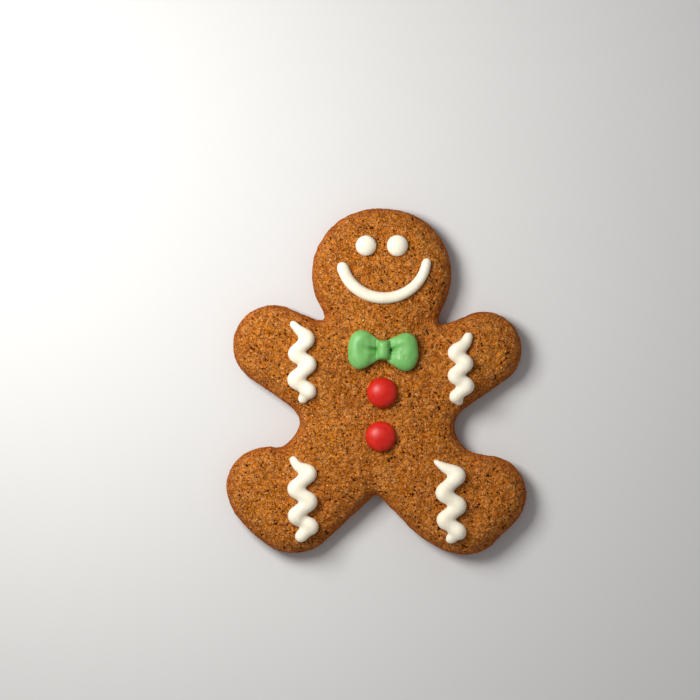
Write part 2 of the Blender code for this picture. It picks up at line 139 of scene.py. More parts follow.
# The smile is part of an ellipse; angles are from its lowest point, in degrees.
SMILE_CENTRE, SMILE_HALF_WIDTH, SMILE_HALF_HEIGHT = (1.95, 32.85), 11.3, 10.8
SMILE_START, SMILE_END = -74.5, 81.8
SMILE_RADII = (1.55, 1.2)
SMILE_STOPS = 12

# Domed dots and lentils: place, radius, half thickness, and the height of the middle over the crust.
Dome = namedtuple("Dome", "x y radius half_thickness lift")
EYES = {
    "eye_right": Dome(-2.8, 35.85, 2.72, 2.0, 0.55),
    "eye_left": Dome(5.45, 35.85, 2.8, 2.0, 0.55),
}
BUTTONS = {
    "button_upper": Dome(1.45, -2.9, 4.0, 2.55, 0.95),
    "button_lower": Dome(1.1, -14.45, 4.05, 2.55, 0.95),
}

# How far the surface of a dot and of a lentil strays from round, as a share of its radius.
EYE_WOBBLE, BUTTON_WOBBLE = 0.03, 0.012
DOME_SEGMENTS, DOME_RINGS = 96, 64

# The bow: two puffed wings, as limbs, and the knot between them, as a band with round corners.
BOW_AT = (1.78, 8.17)
RIGHT_WING = (
    Limb((-5.5, 2.1), 3.2, (-5.95, 0.5), 3.1),
    Limb((-5.95, 0.5), 3.1, (-6.05, -1.75), 2.95),
    Limb((-5.5, 2.1), 3.2, (-2.8, 2.2), 1.4),
    Limb((-6.05, -1.75), 2.95, (-3.2, -1.9), 1.5),
    Limb((-5.0, 0.3), 2.8, (-1.0, 0.2), 2.3),
)
LEFT_WING = (
    Limb((5.7, 1.55), 3.0, (6.0, -0.85), 2.95),
    Limb((6.0, -0.85), 2.95, (5.65, -2.4), 2.8),
    Limb((5.7, 1.55), 3.0, (2.8, 2.15), 1.4),
    Limb((5.65, -2.4), 2.8, (2.9, -2.3), 1.6),
    Limb((5.0, -0.3), 2.8, (1.0, 0.0), 2.3),
)
Band = namedtuple("Band", "x y half_width half_length corner")
KNOT = Band(0.0, 0.17, 1.8, 2.63, 0.9)
WING_FILLET, KNOT_FILLET = 1.2, 0.3
BOW_HEIGHT, BOW_ROUND, BOW_BASE_ROUND, BOW_WIDEST_HEIGHT = 3.2, 3.1, 0.6, 1.1
# Towards the knot the wings thin, and the knot arches over them: a foot this high, and a rise over it.
WING_DROP, WING_DROP_REACH = 1.2, 2.6
KNOT_FOOT, KNOT_RISE, KNOT_END_SHARPNESS = 2.0, 1.5, 6
# A crease of this depth and half width runs down both sides of the knot, which is set in from it.
CREASE_DEPTH, CREASE_HALF_WIDTH, KNOT_TUCK = 0.7, 0.26, 0.18
# A hollow in a wing is round; a pleat is a groove that widens and fades from its start to its end.
Hollow = namedtuple("Hollow", "x y radius depth")
HOLLOWS = (Hollow(-4.6, 0.9, 3.0, 0.45), Hollow(4.6, 0.3, 2.8, 0.3))
Pleat = namedtuple("Pleat", "start end start_half_width end_half_width depth")
PLEATS = (
    Pleat((-1.2, 0.15), (-6.3, 1.0), 0.36, 0.8, 1.6),
    Pleat((-1.2, -0.9), (-4.6, -1.9), 0.3, 0.45, 0.4),
    Pleat((1.2, -0.05), (5.0, 1.0), 0.36, 0.6, 1.6),
    Pleat((1.2, -0.7), (4.4, -1.3), 0.3, 0.45, 0.4),
    Pleat((5.6, -1.8), (6.8, -0.9), 0.4, 0.5, 0.12),
)
BOW_VOXEL, BOW_OUTLINE_STEP = 0.16, 0.2
# Rounds of softening: of the puffed slab, of its pleats, and once it is stuck to the crust.
BOW_MELT_ROUNDS, PLEAT_MELT_ROUNDS, BOW_SETTLE_ROUNDS = 24, 3, 1

# The camera looks straight down on the point that the middle of the photo's frame shows.
VIEW_CENTRE = (-7.03, 8.35)
VIEW_WIDTH = 185.6
LENS, SENSOR = 240, 36
# Soft light falls from the upper left of the photo.
KEY_DIRECTION, KEY_DISTANCE, KEY_SIZE, KEY_POWER = (-0.5, 0.31, 0.8), 250, 110, 0.69
SKY_COLOUR, SKY_STRENGTH = (0.97, 0.98, 1.0), 0.31
FLOOR_COLOUR = (0.66, 0.65, 0.63)
FLOOR_SIZE, FLOOR_DROP = 6000, 0.02


def limb_distance(x, y, limb):
    """How far each point lies outside a limb, negative inside it."""
    along_x, along_y = limb.end[0] - limb.start[0], limb.end[1] - limb.start[1]
    share = (x - limb.start[0]) * along_x + (y - limb.start[1]) * along_y
    share = np.clip(share / (along_x**2 + along_y**2), 0, 1)
    radius = limb.start_radius + share * (limb.end_radius - limb.start_radius)
    return np.hypot(x - limb.start[0] - share * along_x, y - limb.start[1] - share * along_y) - radius


def run_together(a, b, fillet):
    """The union of two distances, with the corner between them filled."""
    near = np.maximum(fillet - abs(a - b), 0) / fillet
    return np.minimum(a, b) - near * near * fillet / 4


def figure_distance(x, y):
    """How far each point lies outside the figure's outline, negative inside it."""
    right_leg = run_together(limb_distance(x, y, RIGHT_THIGH), limb_distance(x, y, RIGHT_FOOT), FOOT_FILLET)
    left_leg = run_together(limb_distance(x, y, LEFT_THIGH), limb_distance(x, y, LEFT_FOOT), FOOT_FILLET)
    torso = limb_distance(x, y, TORSO)
    legs = run_together(
        run_together(torso, right_leg, HIP_FILLET), run_together(torso, left_leg, HIP_FILLET), CROTCH_FILLET
    )
    with_arms = run_together(legs, limb_distance(x, y, RIGHT_ARM), ARM_FILLET)
    with_arms = run_together(with_arms, limb_distance(x, y, LEFT_ARM), ARM_FILLET)
    return run_together(with_arms, limb_distance(x, y, HEAD), NECK_FILLET)


def band_distance(x, y, band):
    """How far each point lies outside a band with round corners, negative inside it."""
    past_x = abs(x - band.x) - band.half_width + band.corner
    past_y = abs(y - band.y) - band.half_length + band.corner
    inner = np.minimum(np.maximum(past_x, past_y), 0)
    return inner + np.hypot(np.maximum(past_x, 0), np.maximum(past_y, 0)) - band.corner


def bow_distance(x, y):
    """The same for the bow's outline, measured from its own middle."""
    whole = band_distance(x, y, KNOT)
    for wing in (RIGHT_WING, LEFT_WING):
        puffed_wing = limb_distance(x, y, wing[0])
        for limb in wing[1:]:
            puffed_wing = run_together(puffed_wing, limb_distance(x, y, limb), WING_FILLET)
        whole = run_together(whole, puffed_wing, KNOT_FILLET)
    return whole


def gradient(distance, x, y):
    """The direction in which a distance grows, as two arrays."""
    tiny = 0.01
    along_x = (distance(x + tiny, y) - distance(x - tiny, y)) / (2 * tiny)
    along_y = (distance(x, y + tiny) - distance(x, y - tiny)) / (2 * tiny)
    return along_x, along_y


def walk_outline(distance, start, step):
    """Points a step apart round the line where a distance is zero, clockwise and back to the first."""
    point = np.array(start, float)
    points = []
    while len(points) < 10 or np.hypot(*(point - points[0])) > 0.75 * step:
        for _ in range(4):
            slope = np.array(gradient(distance, *point))
            point = point - distance(*point) * slope / (slope @ slope)
        points.append(point)
        point = point + step * np.array((slope[1], -slope[0])) / np.hypot(*slope)
    return points


def linked(name, data):
    obj = bpy.data.objects.new(name, data)
    bpy.context.scene.collection.objects.link(obj)
    return obj


def evaluated_mesh(obj):
    """The mesh of an object with its modifiers applied; the object itself is removed."""
    graph = bpy.context.evaluated_depsgraph_get()
    mesh = bpy.data.meshes.new_from_object(obj.evaluated_get(graph))
    bpy.data.objects.remove(obj)
    return mesh


def remeshed(mesh, voxel):
    """The mesh's outer surface, in even faces."""
    obj = linked("remeshed", mesh)
    even = obj.modifiers.new("Even faces", "REMESH")
    even.mode = "VOXEL"
    even.voxel_size = voxel
    return evaluated_mesh(obj)


def slab(outline, thickness, voxel):
    """A flat piece of dough cut to the outline, from z 0 up, in even faces."""
    curve = bpy.data.curves.new("cut outline", "CURVE")
    curve.dimensions = "2D"
    curve.fill_mode = "BOTH"
    curve.extrude = thickness / 2
    spline = curve.splines.new("POLY")
    spline.points.add(len(outline) - 1)
    spline.use_cyclic_u = True
    for spot, (x, y) in zip(spline.points, outline):
        spot.co = (x, y, 0, 1)
    mesh = evaluated_mesh(linked("cut outline", curve))
    mesh.transform(Matrix.Translation((0, 0, thickness / 2)))
    return remeshed(mesh, voxel)


def coordinates(mesh):
    flat = np.empty(len(mesh.vertices) * 3, np.float32)
    mesh.vertices.foreach_get("co", flat)
    return flat.reshape(-1, 3).astype(float).T


def set_coordinates(mesh, x, y, z):
    mesh.vertices.foreach_set("co", np.stack((x, y, z), axis=1).astype(np.float32).ravel())
    mesh.update()


def puffed(mesh, voxel, distance, thickness, widest, shoulder, base_round):
    """Rounds a slab's rim: its square corners move onto quarter ellipses above and below the widest line.

    Returns the new x, y and z, and how far up its rounded side or top each point lies, from 0 to 1.
    """
    x, y, z = coordinates(mesh)
    actual = -distance(x, y)
    inset = np.where(actual < voxel / 2, 0, actual)
    above = z > widest
    reach = np.where(above, shoulder, base_round)
    out = 1 - np.minimum(inset, reach) / reach
    up = np.where(above, (z - widest) / (thickness - widest), (widest - z) / widest)
    out_round = out * np.sqrt(1 - up**2 / 2)
    up_round = up * np.sqrt(1 - out**2 / 2)
    slope_x, slope_y = gradient(distance, x, y)
    size = np.maximum(np.hypot(slope_x, slope_y), 0.2)
    inward = inset - actual + reach * (out - out_round)
    x = x - inward * slope_x / size
    y = y - inward * slope_y / size
    z = np.where(above, widest + up_round * (thickness - widest), widest - up_round * widest)
    return x, y, z, np.where(above, up_round, 0)


def eased(value):
    """0 to 1 with a level start and end."""
    value = np.clip(value, 0, 1)
    return value * value * (3 - 2 * value)


def soft_noise(x, y, span, layer):
    return np.array([noise.noise(Vector((a / span, b / span, layer))) for a, b in zip(x, y)])


def scattered_dents():
    """Seeded places inside the outline for the sunken bubbles: x, y, radius and depth."""
    draw = random.Random(DENT_SEED)
    dents = []
    while len(dents) < DENT_COUNT:
        x, y = draw.uniform(-DRAW_REACH[0], DRAW_REACH[0]), draw.uniform(-DRAW_REACH[1], DRAW_REACH[1])
        radius = draw.uniform(*DENT_RADIUS)
        depth = DENT_DEPTH * draw.uniform(0.5, 1)
        apart = all(math.hypot(x - d[0], y - d[1]) > DENT_SPACING for d in dents)
        if figure_distance(x, y) < -DENT_MARGIN and apart:
            dents.append((x, y, radius, depth))
    return dents


DENTS = scattered_dents()


def crust_relief(x, y):
    """How far the baked top stands above a smooth one."""
    relief = SWELL_HEIGHT * soft_noise(x, y, SWELL_SPAN, 0.3)
    relief += LUMP_HEIGHT * soft_noise(x, y, LUMP_SPAN, 7.7)
    for dent_x, dent_y, radius, depth in DENTS:
        relief -= depth * eased(1 - np.hypot(x - dent_x, y - dent_y) / radius)
    return relief


def crust_height(x, y):
    """The height of the biscuit's top surface over the table, without its fine relief."""
    x, y = np.atleast_1d(np.asarray(x, float)), np.atleast_1d(np.asarray(y, float))
    inset = np.maximum(-figure_distance(x, y), 0)
    out = 1 - np.minimum(inset, SHOULDER) / SHOULDER
    up = np.sqrt(1 - out**2)
    height = WIDEST_HEIGHT + up * (BISCUIT_THICKNESS - WIDEST_HEIGHT)
    return height + up**2 * (CROWN_RISE * eased(inset / CROWN_REACH) + crust_relief(x, y))


def normals(mesh):
    flat = np.empty(len(mesh.vertices) * 3, np.float32)
    mesh.vertex_normals.foreach_get("vector", flat)
    return flat.reshape(-1, 3).astype(float).T


def crumb_relief(points):
    """The crust's fine relief at each point: soft lumps, and rounder ones between sharp folds."""
    heights = []
    for point in points:
        height = sum(size * noise.noise(point / span) for size, span in CRUMB)
        creased = min(abs(noise.noise(point / CREASED_SPAN)), CREASED_LIMIT) - CREASED_LIMIT / 2
        heights.append(height + CREASED_HEIGHT * creased)
    return np.array(heights)


def scattered_pinholes():
    """Seeded places for the burst bubbles on the top: x, y and radius."""
    draw = random.Random(PINHOLE_SEED)
    holes = []
    while len(holes) < PINHOLE_COUNT:
        x, y = draw.uniform(-DRAW_REACH[0], DRAW_REACH[0]), draw.uniform(-DRAW_REACH[1], DRAW_REACH[1])
        heading = draw.uniform(0, 2 * math.pi)
        radius = draw.uniform(*PINHOLE_RADIUS)
        for _ in range(draw.choice(CHAIN_LINKS)):
            if figure_distance(x, y) < -PINHOLE_MARGIN:
                holes.append((x, y, radius))
            radius = max(PINHOLE_RADIUS[0], radius * draw.uniform(*CHAIN_SHARES))
            heading += draw.uniform(-CHAIN_TURN, CHAIN_TURN)
            x, y = x + CHAIN_STEP * math.cos(heading), y + CHAIN_STEP * math.sin(heading)
    return holes


def pinhole_depths(x, y):
    """How far down a pinhole each point lies, from 0 to 1."""
    x = x + PINHOLE_WARP * soft_noise(x, y, PINHOLE_WARP_SPAN, 2.5)
    y = y + PINHOLE_WARP * soft_noise(x, y, PINHOLE_WARP_SPAN, 9.5)
    depths = np.zeros(len(x))
    order = np.argsort(x)
    ranked = x[order]
    for hole_x, hole_y, radius in scattered_pinholes():
        first, last = np.searchsorted(ranked, (hole_x - radius, hole_x + radius))
        near = order[first:last]
        inside = 1 - np.hypot(x[near] - hole_x, y[near] - hole_y) / radius
        depth = np.minimum(1, PINHOLE_STEEPNESS * inside) * radius / PINHOLE_RADIUS[1]
        depths[near] = np.maximum(depths[near], depth)
    return depths


def thinned_base(mesh):
    """The same mesh with fewer faces on its flat base."""
    obj = linked("thinned", mesh)
    base = obj.vertex_groups.new(name="base")
    z = coordinates(mesh)[2]
    base.add([int(i) for i in np.flatnonzero(z < 1e-4)], 1.0, "REPLACE")
    fewer = obj.modifiers.new("Fewer faces", "DECIMATE")
    fewer.ratio = BASE_SHARE
    fewer.vertex_group = "base"
    fewer.vertex_group_factor = 1000
    return evaluated_mesh(obj)


def biscuit_mesh():
    top = (HEAD.start[0], HEAD.start[1] + HEAD.start_radius)
    outline = walk_outline(figure_distance, top, BISCUIT_OUTLINE_STEP)
    mesh = slab(outline, BISCUIT_THICKNESS, BISCUIT_VOXEL)
    x, y, z, up = puffed(
        mesh, BISCUIT_VOXEL, figure_distance, BISCUIT_THICKNESS, WIDEST_HEIGHT, SHOULDER, BASE_ROUND
    )
    inset = np.maximum(-figure_distance(x, y), 0)
    z = z + up**2 * (CROWN_RISE * eased(inset / CROWN_REACH) + crust_relief(x, y))
    set_coordinates(mesh, x, y, z)
    out = normals(mesh)
    crumb = crumb_relief([Vector(point) for point in zip(x, y, z)])
    pinholes = pinhole_depths(x, y) * eased((z - WIDEST_HEIGHT) / PINHOLE_FADE)
    loose = eased((z - RELIEF_START) / RELIEF_FADE)
    rough = RIM_ROUGHNESS + (1 - RIM_ROUGHNESS) * up
    move = loose * (crumb * rough - RIM_INSET * (1 - up) - PINHOLE_DEPTH * pinholes)
    x, y, z = x + move * out[0], y + move * out[1], z + move * out[2]
    set_coordinates(mesh, x, y, np.where(z < BASE_LIMIT, 0, z))
    hollow = mesh.attributes.new("hollow", "FLOAT", "POINT")
    hollow.data.foreach_set("value", pinholes.astype(np.float32))
    lump = mesh.attributes.new("lump", "FLOAT", "POINT")
    lump.data.foreach_set("value", (0.5 + crumb / (2 * CRUMB[0][0])).astype(np.float32))
    mesh = thinned_base(mesh)
    x, y, z = coordinates(mesh)
    set_coordinates(mesh, x, y, np.maximum(z, 0))
    return mesh


def stuck_on(mesh):
    """Flattens what would lie deep in the biscuit to just under its crust."""
    x, y, z = coordinates(mesh)
    set_coordinates(mesh, x, y, np.maximum(z, crust_height(x, y) - SINK))
    return mesh


def rounded_run(stops, step=0.2):
    """Points along a smooth line through the stops, each (x, y, radius), with a round end at both ends."""
    stops = [np.array(stop, float) for stop in stops]
    stops = [2 * stops[0] - stops[1], *stops, 2 * stops[-1] - stops[-2]]
    line = []
    for before, start, end, after in zip(stops, stops[1:], stops[2:], stops[3:]):
        count = max(2, round(np.hypot(*(end - start)[:2]) / step))
        for t in np.arange(count) / count:
            bend = (after - 3 * end + 3 * start - before) * t**3
            bend += (2 * before - 5 * start + 4 * end - after) * t**2
            line.append(start + 0.5 * ((end - before) * t + bend))
    line.append(stops[-2])
    for tip, inner in ((0, 1), (-1, -2)):
        way = line[tip][:2] - line[inner][:2]
        way = way / np.hypot(*way)
        radius = line[tip][2]
        cap = [
            np.array((*(line[tip][:2] + way * radius * math.sin(turn)), radius * math.cos(turn)))
            for turn in np.radians(CAP_TURNS)
        ]
        line = cap[::-1] + line if tip == 0 else line + cap
    return line


def webs(stops):
    """Short runs from each turn of a squiggle towards its inner side, where the icing runs together."""
    lines = []
    for before, turn, after in zip(stops, stops[1:], stops[2:]):
        inward = np.array((before[0] + after[0] - 2 * turn[0], before[1] + after[1] - 2 * turn[1]))
        reach = min(WEB_REACH * turn[2], 0.5 * np.hypot(*inward))
        x, y = np.array(turn[:2]) + inward * reach / np.hypot(*inward)
        lines.append(rounded_run([(*turn[:2], WEB_START * turn[2]), (x, y, WEB_END * turn[2])]))
    return lines


def squiggle_lines(stops):
    """The lines of one squiggle: its run, thinner between the turns, and its webs."""
    turns = stops[TAIL_STOPS:]
    run = list(stops[:TAIL_STOPS + 1])
    for before, after in zip(turns, turns[1:]):
        radius = WAIST * (before[2] + after[2]) / 2
        run += [((before[0] + after[0]) / 2, (before[1] + after[1]) / 2, radius), after]
    return [rounded_run(run), *webs(stops)]


def bead_mesh(lines):
    """A piped bead of icing along lines of (x, y, radius), stuck to the crust."""
    curve = bpy.data.curves.new("bead", "CURVE")
    curve.dimensions = "3D"
    curve.bevel_depth = 1
    curve.bevel_resolution = 10
    curve.use_fill_caps = True
    window = 2 * LIFT_SPREAD + 1
    for line in lines:
        spline = curve.splines.new("POLY")
        spline.points.add(len(line) - 1)
        xs, ys, radii = np.array(line).T
        full = np.convolve(np.pad(radii, LIFT_SPREAD, mode="edge"), np.ones(window) / window, mode="valid")
        heights = crust_height(xs, ys) + BEAD_LIFT * np.maximum(full, radii)
        for spot, x, y, z, radius in zip(spline.points, xs, ys, heights, radii):
            spot.co = (x, y, z, 1)
            spot.radius = radius + MELT_LOSS
    bead = remeshed(evaluated_mesh(linked("bead", curve)), ICING_VOXEL)
    return softened(stuck_on(softened(bead, MELT_ROUNDS)), SETTLE_ROUNDS)


def softened(mesh, rounds):
    obj = linked("softened", mesh)
    smooth = obj.modifiers.new("Melted edges", "SMOOTH")
    smooth.factor = 0.5
    smooth.iterations = rounds
    return evaluated_mesh(obj)


def smile_line():
    """The smile's middle line, with the bead thinning from its first end to its last."""
    line = []
    for angle in np.linspace(math.radians(SMILE_START), math.radians(SMILE_END), SMILE_STOPS):
        share = (angle - math.radians(SMILE_START)) / math.radians(SMILE_END - SMILE_START)
        radius = SMILE_RADII[0] + share**2 * (SMILE_RADII[1] - SMILE_RADII[0])
        x = SMILE_CENTRE[0] + SMILE_HALF_WIDTH * math.sin(angle)
        line.append((x, SMILE_CENTRE[1] - SMILE_HALF_HEIGHT * math.cos(angle), radius))
    return rounded_run(line, step=0.4)


def dome_mesh(dome, wobble):
    """A ball flattened to a dot or lentil, stuck to the crust; wobble is how far its surface strays."""
    bpy.ops.mesh.primitive_uv_sphere_add(segments=DOME_SEGMENTS, ring_count=DOME_RINGS, radius=1)
    obj = bpy.context.object
    mesh = obj.data.copy()
    bpy.data.objects.remove(obj)
    middle = crust_height(dome.x, dome.y)[0] + dome.lift
    x, y, z = coordinates(mesh)
    swell = 1 + wobble * np.array([noise.noise(Vector((a + dome.x, b, c))) for a, b, c in zip(x, y, z)])
    x, y = dome.x + x * swell * dome.radius, dome.y + y * swell * dome.radius
    set_coordinates(mesh, x, y, middle + z * swell * dome.half_thickness)
    return stuck_on(mesh)


def wing_folds(x, y):
    """The depth of the hollows and pleats in the wings."""
    depth = np.zeros(len(x))
    for hollow in HOLLOWS:
        depth += hollow.depth * eased(1 - np.hypot(x - hollow.x, y - hollow.y) / hollow.radius)
    for pleat in PLEATS:
        along_x, along_y = pleat.end[0] - pleat.start[0], pleat.end[1] - pleat.start[1]
        share = (x - pleat.start[0]) * along_x + (y - pleat.start[1]) * along_y
        share = np.clip(share / (along_x**2 + along_y**2), 0, 1)
        across = np.hypot(x - pleat.start[0] - share * along_x, y - pleat.start[1] - share * along_y)
        width = pleat.start_half_width + share * (pleat.end_half_width - pleat.start_half_width)
        depth += pleat.depth * (1 - eased(share)) * np.exp(-((across / width) ** 2))
    return depth


def bow_mesh():
    """The bow as one moulded piece: puffed wings with a hollow and pleats each, and a raised knot."""
    outline = walk_outline(bow_distance, (KNOT.x, KNOT.y + KNOT.half_length), BOW_OUTLINE_STEP)
    mesh = slab(outline, BOW_HEIGHT, BOW_VOXEL)
    x, y, z, up = puffed(
        mesh, BOW_VOXEL, bow_distance, BOW_HEIGHT, BOW_WIDEST_HEIGHT, BOW_ROUND, BOW_BASE_ROUND
    )
    set_coordinates(mesh, x, y, z)
    mesh = softened(mesh, BOW_MELT_ROUNDS)
    x, y, z = coordinates(mesh)
    beside = abs(x) - KNOT.half_width
    crease = CREASE_DEPTH * np.exp(-((beside / CREASE_HALF_WIDTH) ** 2))
    drop = WING_DROP * (1 - eased(beside / WING_DROP_REACH)) + crease
    across = abs(x - KNOT.x) / (KNOT.half_width - KNOT_TUCK)
    along = abs(y - KNOT.y) / KNOT.half_length
    barrel = np.where(across < 1, KNOT_FOOT + KNOT_RISE * np.sqrt(np.maximum(1 - across**2, 0)), 0)
    barrel = barrel * np.cbrt(np.maximum(1 - along**KNOT_END_SHARPNESS, 0))
    z = np.where(up > 0, np.maximum(z - up**2 * (drop + wing_folds(x, y)), barrel), z)
    set_coordinates(mesh, x + BOW_AT[0], y + BOW_AT[1], crust_height(*BOW_AT)[0] + z)
    return softened(stuck_on(softened(mesh, PLEAT_MELT_ROUNDS)), BOW_SETTLE_ROUNDS)


class Graph:
    """A material's nodes, with short ways to add and join them. Spans are in millimetres."""

    def __init__(self, name):
        self.material = bpy.data.materials.new(name)
        self.material.use_nodes = True
        self.tree = self.material.node_tree
        self.shader = self.tree.nodes["Principled BSDF"]
        self.place = self.tree.nodes.new("ShaderNodeTexCoord").outputs["Object"]

    def put(self, socket, value):
        """Sets an input to a number or a colour, or links it to an output."""
        if isinstance(value, bpy.types.NodeSocket):
            self.tree.links.new(value, socket)
        elif isinstance(value, tuple) and len(value) == 3 and socket.type == "RGBA":
            socket.default_value = (*value, 1)
        else:
            socket.default_value = value

    def noise(self, span, detail=2.0, roughness=0.5, distortion=0.0):
        node = self.tree.nodes.new("ShaderNodeTexNoise")
        self.put(node.inputs["Vector"], self.place)
        self.put(node.inputs["Scale"], 1 / (span * MM))
        self.put(node.inputs["Detail"], detail)
        self.put(node.inputs["Roughness"], roughness)
        self.put(node.inputs["Distortion"], distortion)
        return node.outputs["Fac"]

    def dots(self, span, radii, share):
        """Round spots, 1 in their middles, with radii between two sizes; this share of them is kept."""
        node = self.tree.nodes.new("ShaderNodeTexVoronoi")
        self.put(node.inputs["Vector"], self.place)
        self.put(node.inputs["Scale"], 1 / (span * MM))
        draw = self.tree.nodes.new("ShaderNodeSeparateColor")
        self.put(draw.inputs[0], node.outputs["Color"])
        radius = self.ranged(draw.outputs["Red"], 0, 1, radii[0] / span, radii[1] / span)
        kept = self.maths("LESS_THAN", draw.outputs["Green"], share)
        inside = self.ranged(self.maths("DIVIDE", node.outputs["Distance"], radius), 1.0, 0.5)
        return self.maths("MULTIPLY", inside, kept)

    def folds(self, span, width):
        """Wandering fold lines, 1 along their middles; the width is a share of the noise's range."""
        off = self.maths("SUBTRACT", self.noise(span, 3.0, 0.6, 0.6), 0.5)
        return self.ranged(self.maths("ABSOLUTE", off), width, 0.0)

    def plates(self, span, stray):
        """Domed plates side by side, 1 in their middles and 0 where they meet; stray bends their edges."""
        bend = self.tree.nodes.new("ShaderNodeTexNoise")
        self.put(bend.inputs["Vector"], self.place)
        self.put(bend.inputs["Scale"], 1 / (span * MM))
        moved = self.tree.nodes.new("ShaderNodeVectorMath")
        moved.operation = "MULTIPLY_ADD"
        self.put(moved.inputs[0], bend.outputs["Color"])
        self.put(moved.inputs[1], (stray * MM, stray * MM, stray * MM))
        self.put(moved.inputs[2], self.place)
        node = self.tree.nodes.new("ShaderNodeTexVoronoi")
        node.feature = "DISTANCE_TO_EDGE"
        self.put(node.inputs["Vector"], moved.outputs[0])
        self.put(node.inputs["Scale"], 1 / (span * MM))
        return self.maths("POWER", self.ranged(node.outputs["Distance"], 0.0, 0.4), 0.6)

    def attribute(self, name):
        node = self.tree.nodes.new("ShaderNodeAttribute")
        node.attribute_name = name
        return node.outputs["Fac"]

    def ranged(self, value, low, high, to_low=0.0, to_high=1.0):
        """The value brought from one range to another, and kept inside it."""
        node = self.tree.nodes.new("ShaderNodeMapRange")
        for socket, number in zip(node.inputs, (value, low, high, to_low, to_high)):
            self.put(socket, number)
        return node.outputs["Result"]

    def maths(self, operation, a, b=0.0):
        node = self.tree.nodes.new("ShaderNodeMath")
        node.operation = operation
        self.put(node.inputs[0], a)
        self.put(node.inputs[1], b)
        return node.outputs[0]

    def mixed(self, share, a, b):
        """The colour a, with this share of the colour b."""
        node = self.tree.nodes.new("ShaderNodeMix")
        node.data_type = "RGBA"
        self.put(node.inputs[0], share)
        self.put(node.inputs[6], a)
        self.put(node.inputs[7], b)
        return node.outputs[2]

    def height(self):
        """The height over the table, in millimetres."""
        node = self.tree.nodes.new("ShaderNodeSeparateXYZ")
        self.put(node.inputs[0], self.place)
        return self.maths("DIVIDE", node.outputs["Z"], MM)

    def bump(self, height, depth, below=None):
        """A bump whose height runs from 0 to 1 for a depth in millimetres."""
        node = self.tree.nodes.new("ShaderNodeBump")
        self.put(node.inputs["Height"], height)
        self.put(node.inputs["Distance"], depth * MM)
        self.put(node.inputs["Strength"], 1.0)
        if below is not None:
            self.put(node.inputs["Normal"], below)
        return node.outputs["Normal"]

    def finish(self, colour, roughness, normal=None, **others):
        self.put(self.shader.inputs["Base Color"], colour)
        self.put(self.shader.inputs["Roughness"], roughness)
        if normal is not None:
            self.put(self.shader.inputs["Normal"], normal)
        for name, value in others.items():
            self.put(self.shader.inputs[name.replace("_", " ")], value)
        return self.material


def crust_material():
    """Baked dough: fine crumb and domed plates, painted shade in lows, folds and pinholes, painted highlights
    and glints on highs, a toasted rim.
    """
    g = Graph("baked crust")
    base, warm, toasted = (0.555, 0.152, 0.001), (0.62, 0.186, 0.003), (0.47, 0.082, 0.002)
    # The brown and the deep colour are painted shade, the tan and the pale colour painted highlights and
    # glints.
    shade_brown, deep = (0.32, 0.05, 0.001), (0.03, 0.004, 0.0003)
    highlight_tan, pale = (0.84, 0.46, 0.18), (0.97, 0.68, 0.36)
    colour = g.mixed(g.ranged(g.noise(9, 2), 0.35, 0.65), base, warm)
    # From crumbs to grain, each layer is darker in its lows, as painted shade, and paler on its highs, as
    # painted highlights.
    crumbs = g.noise(0.6, 4, 0.7, 0.5)
    colour = g.mixed(g.ranged(crumbs, 0.5, 0.3, 0.0, 0.33), colour, shade_brown)
    colour = g.mixed(g.ranged(crumbs, 0.52, 0.74, 0.0, 0.55), colour, highlight_tan)
    lump = g.attribute("lump")
    colour = g.mixed(g.ranged(lump, 0.5, 0.1, 0.0, 0.35), colour, shade_brown)
    colour = g.mixed(g.ranged(lump, 0.5, 0.9, 0.0, 0.12), colour, highlight_tan)
    # Painted shade where the plates meet and along the folds.
    plates = g.plates(1.9, 0.8)
    colour = g.mixed(g.ranged(plates, 0.35, 0.05, 0.0, 0.25), colour, shade_brown)
    folds = g.folds(1.6, 0.03)
    colour = g.mixed(g.maths("MULTIPLY", folds, 0.75), colour, shade_brown)
    grain = g.noise(0.32, 2, 0.6)
    colour = g.mixed(g.ranged(grain, 0.48, 0.3, 0.0, 0.5), colour, shade_brown)
    colour = g.mixed(g.ranged(grain, 0.54, 0.74, 0.0, 0.6), colour, pale)
    # Pale specks as painted glints, then the rim, browned from its shoulder down, then pricks and the mesh's
    # own pinholes in painted shade.
    specks = g.dots(0.7, (0.1, 0.26), 0.35)
    colour = g.mixed(g.maths("MULTIPLY", specks, 0.55), colour, pale)
    toast = g.ranged(g.height(), 8.0, 2.5, 0.0, 0.85)
    colour = g.mixed(toast, colour, toasted)
    pricks = g.maths("MAXIMUM", g.dots(1.5, (0.24, 0.37), 0.45), g.dots(0.85, (0.16, 0.24), 0.4))
    holes = g.maths("MAXIMUM", pricks, g.ranged(g.attribute("hollow"), 0.2, 0.5, 0.0, 0.95))
    colour = g.mixed(g.maths("MULTIPLY", holes, 0.95), colour, deep)
    normal = g.bump(plates, 0.32)
    normal = g.bump(crumbs, 0.4, normal)
    normal = g.bump(grain, 0.26, normal)
    normal = g.bump(g.maths("MAXIMUM", folds, holes), -0.26, normal)
    # Patches with a faint sheen, but none on the rim or in the holes.
    glints = g.ranged(g.noise(0.9, 2), 0.42, 0.6, 0.24, 0.6)
    rough = g.maths("MAXIMUM", glints, g.ranged(toast, 0.1, 0.5, 0.2, 1.0))
    rough = g.maths("MAXIMUM", rough, holes)
    return g.finish(colour, rough, normal, Specular_IOR_Level=0.06)


def icing_material():
    """Dried royal icing: ivory white, satin, with the light soaking a little way in."""
    g = Graph("piped icing")
    colour = g.mixed(g.ranged(g.noise(3.5, 3), 0.35, 0.7), (0.85, 0.77, 0.61), (0.89, 0.825, 0.685))
    grain = g.bump(g.noise(0.5, 3, 0.6), 0.035)
    swirl = g.bump(g.noise(2.2, 1), 0.12, grain)
    return g.finish(
        colour, 0.5, swirl, Specular_IOR_Level=0.3,
        Subsurface_Weight=0.6, Subsurface_Scale=1.8 * MM, Subsurface_Radius=(1.0, 0.85, 0.6)
    )


